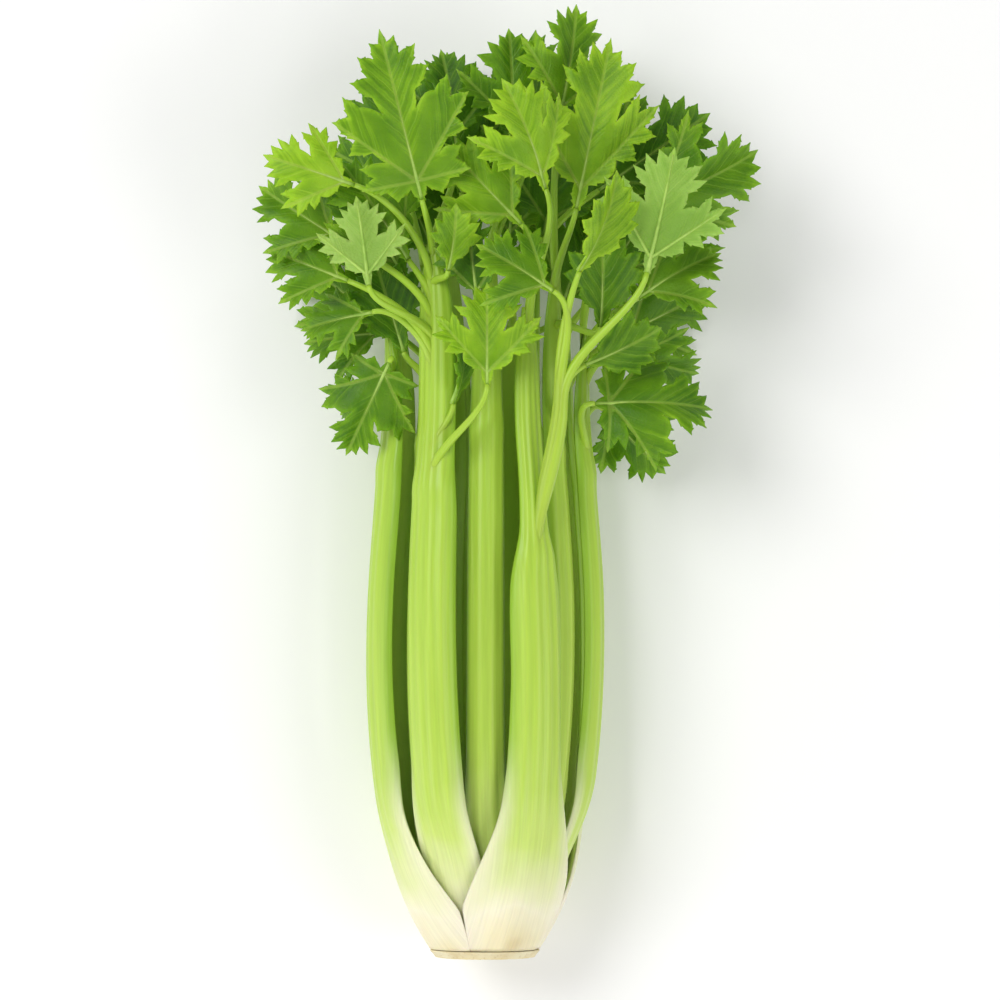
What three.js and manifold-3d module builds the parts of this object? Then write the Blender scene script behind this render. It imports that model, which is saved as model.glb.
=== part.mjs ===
// A head of celery as cut and trimmed, lying on its back on a flat surface.
// Short stem (the butt) with its cut face, fourteen ribbed stalks that wrap round it, and on most stalks
// toothed leaves of one, three or five lobes on slim stems.
// Millimetres. X is across the head, Y runs along it from the cut face to the leaf tips, Z is up from the
// surface. Each stalk, with its leaf stems, is one piece, and so is the leafy blade at the end of each stem.
import * as THREE from "three";
import { mergeVertices } from "three/addons/utils/BufferGeometryUtils.js";
import Module from "manifold-3d";

const wasm = await Module();
wasm.setup();

// Driving dimensions of the bunch
const axisHeight = 42.4; // of the bunch's middle line above the surface
const depthShare = 0.92; // the bunch is a little flatter than it is wide
// [height above the cut face, half the bunch's width]
const envelope = [
  [0, 21],
  [11, 28],
  [24, 34.5],
  [40, 40],
  [66, 46],
  [108, 50],
  [150, 50.5],
  [192, 48],
  [230, 45],
  [300, 45],
];
const joinGap = 0.35; // between pieces that touch

// Driving dimensions of a stalk's section
const ribHeight = 0.7;
const sheathThickness = 4.2; // at the butt
const stalkThickness = 7; // at half height
const sheathEnd = 30; // height at which the wide sheath starts to close to a channel
const channelStart = 84; // height from which it is a channel

// Driving dimensions of the leaves
const bladeThickness = 0.75;
const stemRadius = 1.5; // at the leaf
const stemSides = 5;

// Turns are degrees round the middle line, 0 facing up and 90 facing +X, at the foot, middle and top.
// Room is the most a sheath may reach to each side at the foot, in degrees. Sunk is how far the outer face
// lies inside the envelope at the foot, half way and at the top. Widths are at the foot, at half height,
// above the first joint and at the top.
const stalks = {
  front_left: {
    turn: [-24, -29.5, -31],
    room: 44,
    sunk: [5.4, 0.5, 0.5],
    widths: [30, 24, 18.5, 5],
    from: 13,
    joint: 198,
    top: 298,
    ribs: 6,
  },
  front_right: {
    turn: [31, 31, 25],
    room: 46.6,
    sunk: [0, 0, 1],
    widths: [54, 26, 13, 5],
    from: 3.6,
    joint: 170,
    top: 272,
    ribs: 6,
  },
  left: {
    turn: [-65, -80, -78],
    room: 48.6,
    sunk: [0, 0, 2],
    widths: [55, 26, 20, 5],
    from: 3.6,
    joint: 206,
    top: 262,
    ribs: 6,
  },
  right: {
    turn: [86, 83, 84],
    room: 34,
    sunk: [5.4, 0.5, 1],
    widths: [25, 21, 17, 5],
    from: 13,
    joint: 204,
    top: 262,
    ribs: 5,
  },
  back_right: {
    turn: [119.5, 123, 122],
    room: 41,
    sunk: [0, 0, 3],
    widths: [47, 24, 17, 5],
    from: 3.6,
    joint: 196,
    top: 262,
    ribs: 5,
  },
  under_right: {
    turn: [160, 164, 162],
    room: 35,
    sunk: [5.4, 0.2, 4],
    widths: [26, 24, 18, 5],
    from: 13,
    joint: 208,
    top: 268,
    ribs: 5,
  },
  under_left: {
    turn: [-157, -157, -159],
    room: 39.5,
    sunk: [0, 0, 4],
    widths: [47, 24.5, 18, 5],
    from: 3.6,
    joint: 190,
    top: 270,
    ribs: 5,
  },
  back_left: {
    turn: [-118, -119, -117],
    room: 38,
    sunk: [5.4, 0.5, 2],
    widths: [24, 22, 17, 5],
    from: 13,
    joint: 212,
    top: 268,
    ribs: 5,
  },
  inner_front: {
    turn: [6, 1, 2],
    room: 26,
    sunk: [11, 14.5, 14],
    widths: [26, 18, 15, 5],
    from: 24,
    joint: 222,
    top: 282,
    ribs: 4,
  },
  inner_right: {
    turn: [58, 57, 60],
    room: 24,
    sunk: [11, 8, 9],
    widths: [24, 16, 13, 5],
    from: 24,
    joint: 214,
    top: 288,
    ribs: 3,
  },
  inner_left: {
    turn: [-62, -56, -60],
    room: 30,
    sunk: [11, 12.5, 14],
    widths: [24, 17, 14, 5],
    from: 24,
    joint: 216,
    top: 290,
    ribs: 3,
  },
  inner_back_right: {
    turn: [122, 116, 112],
    room: 30,
    sunk: [11, 19, 20],
    widths: [24, 16, 12, 5],
    from: 24,
    joint: 218,
    top: 290,
    ribs: 3,
  },
  inner_back_left: {
    turn: [-130, -140, -142],
    room: 34,
    sunk: [11, 20, 20],
    widths: [24, 16, 12, 5],
    from: 24,
    joint: 214,
    top: 292,
    ribs: 3,
  },
  heart: {
    turn: [20, 20, 20],
    room: 40,
    sunk: [24, 38, 36],
    widths: [12, 12, 10, 5],
    from: 40,
    joint: 230,
    top: 300,
    ribs: 3,
  },
};

// Each leaf hangs on one stalk. Its stem leaves the stalk at the height joint, passes the point via if there
// is one, and ends at foot. Tip is the end of the middle leaflet. Both are [across, along, up].
// Roll turns the blade about its rib, in degrees. Arch is the rib's rise as a share of its length, and width
// the share of the outline's usual width.
const leaves = [
  {
    on: "front_left",
    joint: 290,
    foot: [-26, 316, 99],
    tip: [-43, 384, 112],
    lobes: "five",
    arch: 0.07,
    width: 0.66,
  },
  { on: "front_left", joint: 276, foot: [-54, 322, 94], tip: [-91, 334, 97], arch: 0.12, width: 0.85 },
  { on: "front_left", joint: 256, foot: [-48, 281, 91.5], tip: [-53, 317, 91], roll: 174, width: 0.9 },
  { on: "front_left", joint: 262, foot: [-60, 300, 82], tip: [-94, 322, 76], roll: -8, width: 0.9 },
  { on: "front_left", joint: 248, foot: [-57, 283, 77], tip: [-90, 296, 70] },
  { on: "front_left", joint: 244, foot: [-47, 270, 72], tip: [-76, 262, 66], roll: 24, width: 0.9 },
  {
    on: "left",
    joint: 240,
    foot: [-40, 249, 67],
    tip: [-58, 211, 54],
    lobes: "five",
    arch: 0.1,
    width: 0.74,
  },
  { on: "inner_left", joint: 284, foot: [-12, 340, 62], tip: [-18, 380, 58], roll: 14, width: 0.85 },
  { on: "heart", joint: 294, foot: [12, 342, 73], tip: [9, 387, 72], roll: 20, width: 0.9 },
  { on: "inner_right", joint: 284, foot: [31, 350, 81], tip: [38, 397, 77], roll: 20, width: 0.78 },
  { on: "inner_right", joint: 276, foot: [38, 313, 84], tip: [52, 382, 88], arch: 0.08, width: 0.68 },
  { on: "front_right", joint: 264, foot: [25, 320, 106], tip: [7, 364, 116], roll: 20, width: 0.85 },
  { on: "front_right", joint: 258, foot: [15, 306, 91.5], tip: [-16, 339, 91], roll: -7, width: 0.9 },
  {
    on: "front_right",
    joint: 172,
    via: [31, 236, 92],
    foot: [28, 278, 106],
    tip: [-3, 297, 108],
    roll: 16,
  },
  { on: "front_left", joint: 198, foot: [1, 240, 92], tip: [1, 281, 95] },
  {
    on: "front_right",
    joint: 172,
    via: [31, 240, 92],
    foot: [39, 286, 110],
    tip: [54, 326, 122],
    lobes: "one",
    roll: 48,
  },
  {
    on: "front_right",
    joint: 172,
    via: [32, 232, 92],
    foot: [67, 286, 102],
    tip: [78, 336, 110],
    roll: 170,
    width: 0.88,
  },
  { on: "right", joint: 256, foot: [65, 314, 70], tip: [114, 337, 62], roll: 24, width: 0.88 },
  { on: "right", joint: 246, foot: [64, 276, 74], tip: [98, 294, 64], roll: -22, width: 0.9 },
  {
    on: "right",
    joint: 206,
    foot: [46, 232, 73],
    tip: [94, 229, 58],
    lobes: "five",
    arch: 0.1,
    roll: -20,
    width: 0.85,
  },
  {
    on: "inner_right",
    joint: 216,
    foot: [42, 248, 84],
    tip: [72, 264, 79],
    lobes: "one",
    roll: 25,
    width: 1.15,
  },
  { on: "front_left", joint: 280, foot: [-15, 287, 91], tip: [-12, 314, 97], lobes: "one", roll: 20 },
  { on: "inner_left", joint: 240, foot: [-34, 254, 58], tip: [-46, 292, 57], lobes: "one", width: 1.2 },
  { on: "inner_front", joint: 270, foot: [-3, 274, 82], tip: [-7, 312, 84], roll: -15, width: 0.7 },
  { on: "front_left", joint: 210, foot: [-13, 232, 80], tip: [-12, 262, 82], lobes: "one", roll: 65 },
  {
    on: "inner_right",
    joint: 262,
    foot: [48, 264, 80],
    tip: [48, 304, 82],
    lobes: "one",
    roll: 25,
    width: 1.2,
  },
  { on: "under_left", joint: 230, foot: [-45, 268, 13], tip: [-80, 296, 5], roll: -8 },
  { on: "under_left", joint: 262, foot: [-20, 292, 12], tip: [-46, 352, 5], roll: 8, width: 0.9 },
  { on: "under_right", joint: 262, foot: [10, 298, 21], tip: [10, 362, 17], roll: 14 },
  { on: "under_right", joint: 254, foot: [31, 270, 15], tip: [54, 332, 8], roll: -8, width: 0.9 },
  { on: "back_right", joint: 232, foot: [58, 262, 14], tip: [94, 280, 5], roll: 8 },
  { on: "back_left", joint: 214, foot: [-46, 238, 32], tip: [-62, 228, 20], roll: 18 },
  { on: "back_left", joint: 260, foot: [-34, 286, 27], tip: [-70, 338, 22], roll: 12 },
  { on: "inner_back_left", joint: 286, foot: [-10, 322, 32], tip: [-16, 380, 26], width: 0.85 },
  { on: "inner_back_right", joint: 270, foot: [24, 302, 36], tip: [40, 366, 32] },
  { on: "back_right", joint: 256, foot: [48, 280, 30], tip: [88, 336, 22], roll: -20, width: 0.9 },
  { on: "back_right", joint: 200, foot: [50, 230, 30], tip: [76, 204, 18], roll: 18 },
  { on: "left", joint: 256, foot: [-42, 262, 48], tip: [-76, 258, 40], roll: 22 },
  { on: "inner_left", joint: 276, foot: [-32, 318, 48], tip: [-46, 368, 44], roll: -24 },
  { on: "heart", joint: 290, foot: [17, 334, 50], tip: [22, 388, 46], roll: -22, width: 0.85 },
  { on: "inner_back_right", joint: 286, foot: [48, 322, 48], tip: [94, 354, 42], width: 0.9 },
  { on: "right", joint: 236, foot: [58, 254, 50], tip: [90, 244, 40], roll: 22 },
  { on: "front_left", joint: 270, foot: [-32, 292, 77], tip: [-60, 332, 85], roll: 12, width: 0.9 },
];

// Outlines of the right half of a blade from its foot to its tip: [across, along] as shares of its length.
// Each side lobe has its tip at a point of the outline, and its rib runs there from the fork.
const fork = 0.11; // share of the length at which the side ribs leave the middle one
const outlines = {
  three: {
    edge: [
      [0.02, 0],
      [0.06, 0.14],
      [0.24, 0.24],
      [0.24, 0.31],
      [0.42, 0.34],
      [0.36, 0.42],
      [0.54, 0.5],
      [0.43, 0.54],
      [0.5, 0.68],
      [0.37, 0.61],
      [0.35, 0.72],
      [0.25, 0.6],
      [0.17, 0.53],
      [0.2, 0.66],
      [0.33, 0.79],
      [0.21, 0.78],
      [0.24, 0.9],
      [0.13, 0.85],
      [0.12, 0.95],
      [0.05, 0.92],
    ],
    middleRib: [fork, 0.4, 0.66, 0.87],
    sideRibs: [{ end: 8, points: [[0.16, 0.29], [0.34, 0.49]] }],
  },
  five: {
    edge: [
      [0.02, 0],
      [0.07, 0.07],
      [0.22, 0.03],
      [0.28, 0.09],
      [0.46, 0.13],
      [0.35, 0.2],
      [0.44, 0.27],
      [0.3, 0.27],
      [0.22, 0.26],
      [0.32, 0.34],
      [0.5, 0.37],
      [0.43, 0.44],
      [0.58, 0.57],
      [0.42, 0.57],
      [0.42, 0.69],
      [0.31, 0.61],
      [0.25, 0.6],
      [0.15, 0.53],
      [0.19, 0.64],
      [0.33, 0.76],
      [0.2, 0.77],
      [0.24, 0.89],
      [0.11, 0.86],
      [0.11, 0.95],
      [0.04, 0.93],
    ],
    middleRib: [fork, 0.4, 0.66, 0.87],
    sideRibs: [
      { end: 4, points: [[0.17, 0.13], [0.31, 0.14]] },
      { end: 12, points: [[0.2, 0.3], [0.38, 0.44]] },
    ],
  },
  one: {
    edge: [
      [0.02, 0],
      [0.08, 0.18],
      [0.24, 0.32],
      [0.22, 0.4],
      [0.38, 0.55],
      [0.28, 0.6],
      [0.32, 0.76],
      [0.18, 0.74],
      [0.19, 0.89],
      [0.09, 0.88],
    ],
    middleRib: [fork, 0.36, 0.6, 0.84],
    sideRibs: [],
  },
};

// A smooth curve through [position, value] keys
function along(keys, at) {
  const last = keys.length - 1;
  if (at <= keys[0][0]) return keys[0][1];
  if (at >= keys[last][0]) return keys[last][1];
  let i = 0;
  while (at > keys[i + 1][0]) i += 1;
  const slope = (k) => {
    const before = keys[Math.max(k - 1, 0)];
    const after = keys[Math.min(k + 1, last)];
    return (after[1] - before[1]) / (after[0] - before[0]);
  };
  const [x0, y0] = keys[i];
  const [x1, y1] = keys[i + 1];
  const step = x1 - x0;
  const t = (at - x0) / step;
  const rise = t * t * (3 - 2 * t);
  return (
    y0 * (1 - rise) +
    y1 * rise +
    step * t * (1 - t) * ((1 - t) * slope(i) - t * slope(i + 1))
  );
}

const smooth = (from, to, at) => THREE.MathUtils.smoothstep(at, from, to);
const radians = THREE.MathUtils.degToRad;
const point = ([x, y, z]) => new THREE.Vector3(x, y, z);

// Repeatable draws from -1 to 1 for one leaf
function draws(seed) {
  let state = (seed * 7919 + 17) % 4294967296;
  return () => {
    state = (state * 1664525 + 1013904223) % 4294967296;
    return state / 2147483648 - 1;
  };
}

// A closed geometry over rings of points, all of one count. Flat gives a ring as 2D points for its cap.
function loft(rings, flat) {
  const count = rings[0].length;
  const positions = rings.flat().flatMap((p) => [p.x, p.y, p.z]);
  const faces = [];
  for (let r = 0; r + 1 < rings.length; r += 1) {
    for (let i = 0; i < count; i += 1) {
      const a = r * count + i;
      const b = r * count + ((i + 1) % count);
      faces.push(a, b, b + count, a, b + count, a + count);
    }
  }
  const lastRing = (rings.length - 1) * count;
  for (const [a, b, c] of THREE.ShapeUtils.triangulateShape(flat(rings[0]), [])) faces.push(a, c, b);
  for (const [a, b, c] of THREE.ShapeUtils.triangulateShape(flat(rings.at(-1)), [])) {
    faces.push(lastRing + a, lastRing + b, lastRing + c);
  }
  return geometryOf(positions, faces);
}

function geometryOf(positions, faces) {
  const geometry = new THREE.BufferGeometry();
  geometry.setAttribute("position", new THREE.Float32BufferAttribute(positions, 3));
  geometry.setIndex(faces);
  return geometry;
}

function solidOf(geometry) {
  const merged = mergeVertices(geometry, 1e-4);
  const solid = new wasm.Manifold(
    new wasm.Mesh({
      numProp: 3,
      vertProperties: merged.attributes.position.array,
      triVerts: new Uint32Array(merged.index.array),
    }),
  );
  return solid;
}

// One body from several closed geometries
function fuse(geometries) {
  const solids = geometries.map(solidOf);
  const whole = solids.slice(1).reduce((sum, solid) => sum.add(solid), solids[0]);
  const mesh = whole.getMesh();
  return geometryOf(Array.from(mesh.vertProperties), Array.from(mesh.triVerts));
}

// Where a stalk's outer face runs: its turn, its distance from the middle line and its width at a height
function stalkAt(stalk, height) {
  const { from, joint, top } = stalk;
  const [foot, half, above, end] = stalk.widths;
  const turn = along([[from, stalk.turn[0]], [66, stalk.turn[1]], [top, stalk.turn[2]]], height);
  const sunk = along([[42, stalk.sunk[0]], [76, stalk.sunk[1]], [top, stalk.sunk[2]]], height);
  const width = along(
    [
      [from, foot * 0.8],
      [sheathEnd - 8, foot],
      [66, foot * 0.2 + half * 0.8],
      [110, half],
      [joint - 14, half * 0.93],
      [joint + 12, above],
      [top - 24, above * 0.86],
      [top, end],
    ],
    height,
  );
  return { turn: radians(turn), face: along(envelope, height) - sunk, width };
}

// The closed outline of a stalk at a height: ribbed outer face, then the inner channel
function stalkRing(stalk, height) {
  const { turn, face, width } = stalkAt(stalk, height);
  const closing = smooth(sheathEnd, channelStart, height);
  const ending = smooth(stalk.top - 60, stalk.top, height);
  const thickness = THREE.MathUtils.lerp(
    THREE.MathUtils.lerp(sheathThickness, stalkThickness * Math.min(1, stalk.widths[1] / 22), closing),
    3.4,
    ending,
  );
  const sheathRadius = face - thickness / 2;
  const channelRadius = Math.max(width * 0.56, thickness);
  const radius = THREE.MathUtils.lerp(sheathRadius, channelRadius, closing);
  const halfAngle = Math.min(width / 2 / radius, THREE.MathUtils.lerp(radians(stalk.room), 1, closing));
  const centre = face - thickness / 2 - radius;
  const outerCount = 2 * stalk.ribs;
  const innerCount = Math.max(3, stalk.ribs - 1);
  const ring = [];
  const add = (share, offset) => {
    const angle = turn + share * halfAngle;
    const reach = radius + offset;
    const x = centre * Math.sin(turn) + reach * Math.sin(angle);
    const z = centre * Math.cos(turn) + reach * Math.cos(angle);
    ring.push(new THREE.Vector3(x, height, Math.max(0, axisHeight + depthShare * z)));
  };
  const halfThickness = (share) => (thickness / 2) * (1 - 0.5 * share * share);
  const ribs = ribHeight * smooth(10, 60, height) * (1 - 0.5 * ending);
  for (let i = 0; i <= outerCount; i += 1) {
    const share = (2 * i) / outerCount - 1;
    add(share, halfThickness(share) - (i % 2 ? 0 : ribs));
  }
  for (let i = 0; i <= innerCount; i += 1) {
    const share = 1 - (2 * i) / innerCount;
    add(share * 0.94, -halfThickness(share));
  }
  return ring;
}

function stalkBody(stalk, steps) {
  const rings = [];
  for (let i = 0; i <= steps; i += 1) {
    const share = (i / steps) ** 1.2;
    rings.push(stalkRing(stalk, stalk.from + (stalk.top - stalk.from) * share));
  }
  return loft(rings, (ring) => ring.map((p) => new THREE.Vector2(p.z, p.x)));
}

// The middle of a stalk's thickness at a height
function stalkCore(stalk, height) {
  const { turn, face } = stalkAt(stalk, height);
  const reach = face - 2.6;
  const z = axisHeight + depthShare * reach * Math.cos(turn);
  return new THREE.Vector3(reach * Math.sin(turn), height, z);
}

// A slim round stem along a curve, thinner towards its end
function stemBody(curve, startRadius, endRadius, steps) {
  const side = new THREE.Vector3(1, 0, 0);
  const rings = [];
  for (let i = 0; i <= steps; i += 1) {
    const middle = curve.getPoint(i / steps);
    const forward = curve.getTangent(i / steps);
    side.addScaledVector(forward, -side.dot(forward)).normalize();
    const up = new THREE.Vector3().crossVectors(forward, side);
    const radius = THREE.MathUtils.lerp(startRadius, endRadius, i / steps);
    const ring = [];
    for (let k = 0; k < stemSides; k += 1) {
      const angle = (2 * Math.PI * k) / stemSides;
      const out = side.clone().multiplyScalar(Math.cos(angle)).addScaledVector(up, Math.sin(angle));
      ring.push(middle.clone().addScaledVector(out, radius));
    }
    rings.push(ring);
  }
  const centre = new THREE.Vector2();
  const round = (_, k) => new THREE.Vector2(0, 1).rotateAround(centre, (2 * Math.PI * k) / stemSides);
  return loft(rings, (ring) => ring.map(round));
}

// A leaf's own axes: along its rib, out of its face and across
function leafAxes(leaf) {
  const foot = point(leaf.foot);
  const forward = point(leaf.tip).sub(foot).normalize();
  const face = new THREE.Vector3(0, 0, 1).addScaledVector(forward, -forward.z).normalize();
  face.applyAxisAngle(forward, radians(leaf.roll ?? 0));
  const across = new THREE.Vector3().crossVectors(forward, face);
  return { foot, forward, face, across };
}

function leafStem(leaf) {
  const stalk = stalks[leaf.on];
  const { foot, forward } = leafAxes(leaf);
  const start = stalkCore(stalk, leaf.joint);
  const end = foot.clone().addScaledVector(forward, -joinGap);
  const points = [start];
  if (leaf.via) points.push(point(leaf.via));
  const before = points.at(-1);
  const reach = end.distanceTo(before);
  const upward = new THREE.Vector3(0, 1, 0);
  const curve = new THREE.CurvePath();
  if (leaf.via) {
    const half = start.distanceTo(before) / 3;
    curve.add(
      new THREE.CubicBezierCurve3(
        start,
        start.clone().addScaledVector(upward, half),
        before.clone().addScaledVector(upward, -half),
        before,
      ),
    );
  }
  curve.add(
    new THREE.CubicBezierCurve3(
      before,
      before.clone().addScaledVector(upward, reach * 0.35),
      end.clone().addScaledVector(forward, -reach * 0.3),
      end,
    ),
  );
  return stemBody(curve, leaf.via ? 3.2 : 2.6, stemRadius, leaf.via ? 6 : 4);
}

// A flat triangle's corners in the order that makes it face up
function facingUp(flat, [a, b, c]) {
  const first = flat[b].clone().sub(flat[a]);
  const second = flat[c].clone().sub(flat[a]);
  return first.cross(second) > 0 ? [a, b, c] : [a, c, b];
}

// The flat plan of a blade: its points, the count of them on the edge, and the triangles between them. Ribs
// are edges of triangles, so that the blade can fold along them.
function bladePlan({ edge, middleRib, sideRibs }, length, draw) {
  const spreadOf = { 1: radians(5 + 5 * draw()), "-1": radians(5 + 5 * draw()) };
  const lobeEnd = sideRibs.length ? sideRibs.at(-1).end + 3 : 0;
  const centre = new THREE.Vector2(0, fork);
  const placed = (side, [u, v], lobed) => {
    const at = new THREE.Vector2(u * side, v);
    if (lobed) at.rotateAround(centre, -side * spreadOf[side]);
    return at.multiplyScalar(length);
  };
  const halfEdge = (side) =>
    edge.map(([u, v], i) => {
      const shake = i > 1 ? 0.012 : 0;
      return placed(side, [u + shake * draw(), v + shake * draw()], i > 1 && i <= lobeEnd);
    });
  const right = halfEdge(1);
  const left = halfEdge(-1);
  const flat = [...right, new THREE.Vector2(0, length), ...left.toReversed()];
  const edgeCount = flat.length;
  const top = right.length;
  const middle = middleRib.map((share) => flat.push(new THREE.Vector2(0, share * length)) - 1);
  const triangles = [[0, middle[0], edgeCount - 1]];
  for (const side of [1, -1]) {
    const onEdge = (i) => (side > 0 ? i : edgeCount - 1 - i);
    const ribs = sideRibs.map(({ end, points }) => ({
      end,
      inner: points.map((p) => flat.push(placed(side, p, true)) - 1),
    }));
    ribs.push({ end: top, inner: middle.slice(1) });
    let start = 0;
    let inner = [];
    for (const rib of ribs) {
      const region = [];
      for (let i = start; i <= rib.end; i += 1) region.push(onEdge(i));
      region.push(...rib.inner.toReversed(), middle[0], ...inner);
      const outline = region.map((i) => flat[i]);
      for (const corners of THREE.ShapeUtils.triangulateShape(outline, [])) {
        triangles.push(corners.map((i) => region[i]));
      }
      start = rib.end;
      inner = rib.inner;
    }
  }
  return { flat, edgeCount, triangles: triangles.map((corners) => facingUp(flat, corners)) };
}

// How far the blade's middle surface lies off its flat plan: arched along, hollowed at the ribs, its edges
// drooping and waved
function bladeRise({ arch, fold, droop, wave, phase }, length, sideRibs) {
  return (u, v) => {
    const share = v / length;
    const reach = Math.hypot(u, v) / length;
    let valley = Math.abs(u);
    for (const { points } of sideRibs) {
      const [across, up] = points.at(-1);
      const run = new THREE.Vector2(across, up - fork).normalize();
      const offset = Math.abs((Math.abs(u) * run.y) - (v - fork * length) * run.x);
      valley = Math.min(valley, offset);
    }
    return (
      arch * length * 4 * share * (1 - share) +
      fold * valley -
      droop * ((u * u) / length) +
      wave * reach * Math.sin(5 * Math.atan2(u, v + 0.2 * length) + phase)
    );
  };
}

// A leaf's outline at its own width
function outlineOf(leaf) {
  const { edge, middleRib, sideRibs } = outlines[leaf.lobes ?? "three"];
  const widened = (points) => points.map(([u, v]) => [u * (leaf.width ?? 1), v]);
  return {
    edge: widened(edge),
    middleRib,
    sideRibs: sideRibs.map(({ end, points }) => ({ end, points: widened(points) })),
  };
}

function leafBody(leaf, index) {
  const draw = draws(index + 1);
  const { foot, forward, face, across } = leafAxes(leaf);
  const length = point(leaf.tip).distanceTo(foot);
  const outline = outlineOf(leaf);
  const { flat, edgeCount, triangles } = bladePlan(outline, length, draw);
  const bend = {
    arch: leaf.arch ?? 0.06 + 0.04 * draw(),
    fold: 0.3 + 0.15 * draw(),
    droop: 0.35 + 0.2 * draw(),
    wave: 2 + draw(),
    phase: 3 * draw(),
  };
  const rise = bladeRise(bend, length, outline.sideRibs);
  const surface = (u, v) => {
    const at = foot.clone().addScaledVector(across, u).addScaledVector(forward, v);
    at.addScaledVector(face, rise(u, v));
    at.z = Math.max(at.z, bladeThickness / 2 + 0.05);
    return at;
  };
  const normal = (u, v) => {
    const du = surface(u + 0.4, v).sub(surface(u - 0.4, v));
    const dv = surface(u, v + 0.4).sub(surface(u, v - 0.4));
    return du.cross(dv).normalize();
  };
  const positions = [];
  for (const lift of [bladeThickness / 2, -bladeThickness / 2]) {
    for (const { x, y } of flat) positions.push(...surface(x, y).addScaledVector(normal(x, y), lift));
  }
  const under = flat.length;
  const faces = triangles.flatMap(([a, b, c]) => [a, b, c, c + under, b + under, a + under]);
  for (let i = 0; i < edgeCount; i += 1) {
    const next = (i + 1) % edgeCount;
    faces.push(i, i + under, next + under, i, next + under, next);
  }
  return geometryOf(positions, faces);
}

// The butt: a short solid stem with a ledge for each layer of stalks
function buttBody() {
  const sides = 22;
  const profile = [
    [0, 20.6],
    [1.2, 21.6],
    [3.2, 23],
    [3.25, 18.7],
    [23.6, 16.8],
    [32, 11],
    [36, 4],
  ];
  const rings = profile.map(([height, radius]) => {
    const ring = [];
    for (let i = 0; i < sides; i += 1) {
      const angle = (2 * Math.PI * i) / sides;
      const z = axisHeight + depthShare * radius * Math.cos(angle);
      ring.push(new THREE.Vector3(radius * Math.sin(angle), height, z));
    }
    return ring;
  });
  return loft(rings, (ring) => ring.map((p) => new THREE.Vector2(p.z, p.x)));
}

const materials = {
  butt: new THREE.MeshStandardMaterial({ color: 0xe4dcb8, roughness: 0.6, metalness: 0 }),
  stalk: new THREE.MeshStandardMaterial({ color: 0xb4d45c, roughness: 0.42, metalness: 0 }),
  leaf: new THREE.MeshStandardMaterial({ color: 0x6fa321, roughness: 0.5, metalness: 0 }),
};

const celery = new THREE.Group();

function addPiece(name, geometry, material) {
  const mesh = new THREE.Mesh(geometry, material);
  mesh.name = name;
  celery.add(mesh);
}

addPiece("butt", buttBody(), materials.butt);
for (const [name, stalk] of Object.entries(stalks)) {
  const stems = leaves.filter((leaf) => leaf.on === name).map(leafStem);
  const steps = stalk.ribs > 3 ? 12 : 9;
  addPiece(`stalk_${name}`, fuse([stalkBody(stalk, steps), ...stems]), materials.stalk);
}
leaves.forEach((leaf, index) => {
  const number = String(index + 1).padStart(2, "0");
  addPiece(`leaf_${number}`, leafBody(leaf, index), materials.leaf);
});

// The origin is the middle of the whole head's footprint, on the surface
const bounds = new THREE.Box3().setFromObject(celery);
const middle = bounds.getCenter(new THREE.Vector3());
celery.position.set(-middle.x, -middle.y, -bounds.min.z);

export default celery;
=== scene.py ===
import bmesh
import bpy
import math
from mathutils import Matrix, Vector, kdtree, noise
from mathutils.geometry import interpolate_bezier


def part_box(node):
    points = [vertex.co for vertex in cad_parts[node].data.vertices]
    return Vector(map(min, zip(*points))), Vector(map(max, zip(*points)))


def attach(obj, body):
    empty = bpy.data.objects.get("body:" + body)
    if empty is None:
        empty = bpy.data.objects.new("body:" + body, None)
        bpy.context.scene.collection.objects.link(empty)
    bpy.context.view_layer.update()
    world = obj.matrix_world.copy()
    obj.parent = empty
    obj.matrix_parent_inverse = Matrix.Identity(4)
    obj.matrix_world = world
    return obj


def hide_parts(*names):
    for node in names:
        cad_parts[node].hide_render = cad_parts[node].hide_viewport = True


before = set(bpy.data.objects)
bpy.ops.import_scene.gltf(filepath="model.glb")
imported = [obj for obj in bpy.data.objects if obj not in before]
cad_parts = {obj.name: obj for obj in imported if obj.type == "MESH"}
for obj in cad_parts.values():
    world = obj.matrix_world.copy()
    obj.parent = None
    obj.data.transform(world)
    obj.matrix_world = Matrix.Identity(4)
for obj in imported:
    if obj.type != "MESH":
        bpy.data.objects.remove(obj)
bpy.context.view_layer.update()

# The head lies on its back: x across, y from the cut face to the leaf tips, z up.
# Shapes are worked out in mm from the middle of the cut face, then moved into the frame.
buttLow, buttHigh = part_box("butt")
originX = (buttLow.x + buttHigh.x) / 2 * 1000
originY = buttLow.y * 1000
intoFrame = Matrix.Scale(0.001, 4) @ Matrix.Translation((originX, originY, 0))

bunchSettings = {
    "axisHeight": 42.4,  # of the bunch's middle line above the floor
    "depthShare": 0.92,  # a little flatter than wide
    "envelope": [  # height above the cut face, half the width
        (0, 21), (11, 28), (24, 34.5), (40, 40), (66, 46),
        (108, 50), (150, 50.5), (192, 48), (230, 45), (300, 45),
    ],
}


def mix(low, high, share):
    return low + (high - low) * share


def smoothStep(low, high, at):
    share = min(max((at - low) / (high - low), 0), 1)
    return share * share * (3 - 2 * share)


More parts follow.
